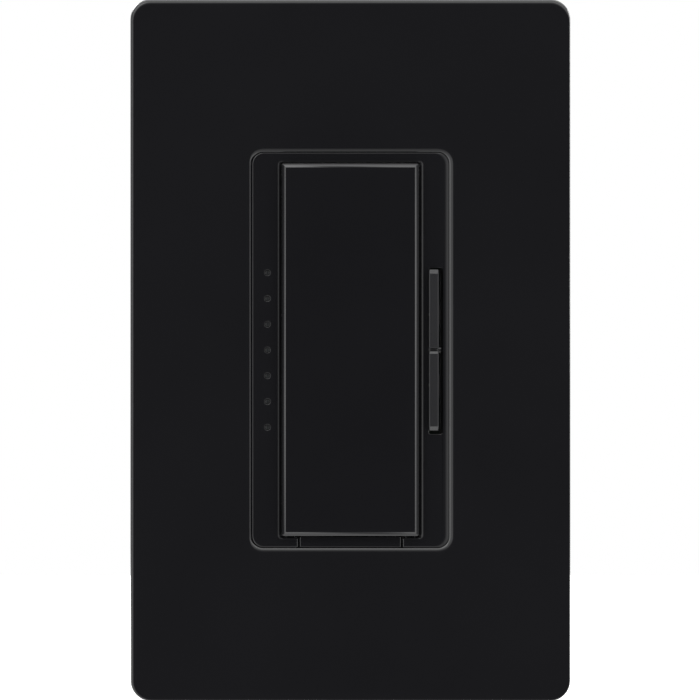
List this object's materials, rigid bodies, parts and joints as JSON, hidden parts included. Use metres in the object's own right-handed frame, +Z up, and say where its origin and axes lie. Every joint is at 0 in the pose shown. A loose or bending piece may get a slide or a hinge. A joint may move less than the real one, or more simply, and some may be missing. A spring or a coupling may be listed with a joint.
{
  "type": "wall dimmer switch",
  "caption": "Wall dimmer with a tap paddle, a slim raise and lower rocker, a row of status lights, a pull-out air-gap tab and a clip-on cover plate.",
  "frame": {"origin": "midway between the two box screws, on the wall surface (the yoke's back face)", "axes": "+Y into the wall, along the box screws; the face of the dimmer looks along -Y; +Z up, +X to the right as seen from the front"},
  "size_m": [0.0746, 0.0369, 0.119],
  "materials": {
    "cover_plastic": "smooth satin-gloss black thermoplastic",
    "bezel_plastic": "smooth satin-gloss black thermoplastic",
    "paddle_plastic": "smooth satin-gloss black thermoplastic",
    "rocker_plastic": "smooth satin black thermoplastic",
    "tab_plastic": "smooth satin-gloss black thermoplastic",
    "adapter_plastic": "matte moulded black thermoplastic",
    "housing_plastic": "fine-textured black thermoset",
    "switch_plastic": "moulded black thermoplastic",
    "plunger_plastic": "natural nylon",
    "header_plastic": "moulded black nylon",
    "light_pipe": "smoked clear acrylic",
    "led_ceramic": "white ceramic with clear resin",
    "circuit_board": "green solder mask on glass-fibre board",
    "chip_epoxy": "moulded black epoxy",
    "insulator_film": "amber polyimide film",
    "fibre": "red vulcanised fibre",
    "silicone_pad": "grey thermal silicone",
    "aluminium": "stamped and brushed",
    "zinc_screw": "zinc-plated steel",
    "black_screw": "black oxide steel",
    "brass_screw": "bright brass plate on steel",
    "green_screw": "green-dyed zinc plate",
    "terminal_brass": "stamped brass",
    "spring_brass": "rolled phosphor bronze",
    "contact_silver": "silver alloy",
    "choke_core": "green epoxy-coated powdered iron",
    "copper_wire": "enamelled copper wire",
    "capacitor_box": "yellow moulded box",
    "capacitor_sleeve": "dark blue shrink sleeve",
    "varistor_coating": "orange epoxy dip",
    "fuse_body": "tan ceramic",
    "resistor_coating": "blue lacquer"
  },
  "bodies": {
    "chassis": {"cover_plate": "cover_plastic", "cover_adapter": "adapter_plastic", "adapter_screws": "black_screw", "mounting_yoke": "aluminium", "box_screws": "zinc_screw", "screw_retainers": "fibre", "bezel": "bezel_plastic", "light_pipe": "light_pipe", "status_leds": "led_ceramic", "control_board": "circuit_board", "control_chip": "chip_epoxy", "insulator_sheet": "insulator_film", "tap_switch_body": "switch_plastic", "raise_switch_body": "switch_plastic", "lower_switch_body": "switch_plastic", "leaf_post": "terminal_brass", "fixed_contact": "terminal_brass", "board_header": "header_plastic", "power_board": "circuit_board", "triac": "chip_epoxy", "triac_insulator": "silicone_pad", "triac_rivet": "zinc_screw", "choke_core": "choke_core", "choke_winding": "copper_wire", "film_capacitor": "capacitor_box", "electrolytic_capacitor": "capacitor_sleeve", "varistor": "varistor_coating", "line_fuse": "fuse_body", "power_resistors": "resistor_coating", "terminal_plates": "terminal_brass", "terminal_screws": "brass_screw", "wire_clamps": "zinc_screw", "ground_screw": "green_screw", "rear_housing": "housing_plastic", "housing_screws": "zinc_screw"},
    "paddle": {"tap_paddle": "paddle_plastic"},
    "rocker": {"dimming_rocker": "rocker_plastic"},
    "tap_plunger": {"tap_plunger": "plunger_plastic"},
    "raise_plunger": {"raise_plunger": "plunger_plastic"},
    "lower_plunger": {"lower_plunger": "plunger_plastic"},
    "air_gap_slider": {"air_gap_tab": "tab_plastic"},
    "contact_arm": {"contact_leaf": "spring_brass", "moving_contact": "contact_silver"}
  },
  "joints": [
    {"name": "paddle_hinge", "type": "hinge", "parent": "chassis", "child": "paddle", "pos_m": [0, -0.0056, 0.0302], "axis": [1, 0, 0], "range_deg": [0, 0.6], "stiffness_Nm_per_rad": 3, "springref_deg": -0.57},
    {"name": "rocker_pivot", "type": "hinge", "parent": "chassis", "child": "rocker", "pos_m": [0.0142, -0.0056, 0], "axis": [-1, 0, 0], "range_deg": [-2, 2], "stiffness_Nm_per_rad": 0.05},
    {"name": "tap_plunger_slide", "type": "slide", "parent": "chassis", "child": "tap_plunger", "axis": [0, 1, 0], "range_m": [0, 0.00033]},
    {"name": "raise_plunger_slide", "type": "slide", "parent": "chassis", "child": "raise_plunger", "axis": [0, 1, 0], "range_m": [-0.00022, 0.00022]},
    {"name": "lower_plunger_slide", "type": "slide", "parent": "chassis", "child": "lower_plunger", "axis": [0, 1, 0], "range_m": [-0.00022, 0.00022]},
    {"name": "air_gap_slide", "type": "slide", "parent": "chassis", "child": "air_gap_slider", "axis": [0, -1, 0], "range_m": [0, 0.004]},
    {"name": "contact_hinge", "type": "hinge", "parent": "chassis", "child": "contact_arm", "pos_m": [-0.009, 0.003, -0.0309], "axis": [0, -1, 0], "range_deg": [0, 7.7]}
  ],
  "couplings": [
    {"joint": "tap_plunger_slide", "follows": "paddle_hinge", "m_per_rad": 0.0302},
    {"joint": "raise_plunger_slide", "follows": "rocker_pivot", "m_per_rad": 0.006},
    {"joint": "lower_plunger_slide", "follows": "rocker_pivot", "m_per_rad": -0.006},
    {"joint": "contact_hinge", "follows": "air_gap_slide", "rad_per_m": 33.33}
  ]
}
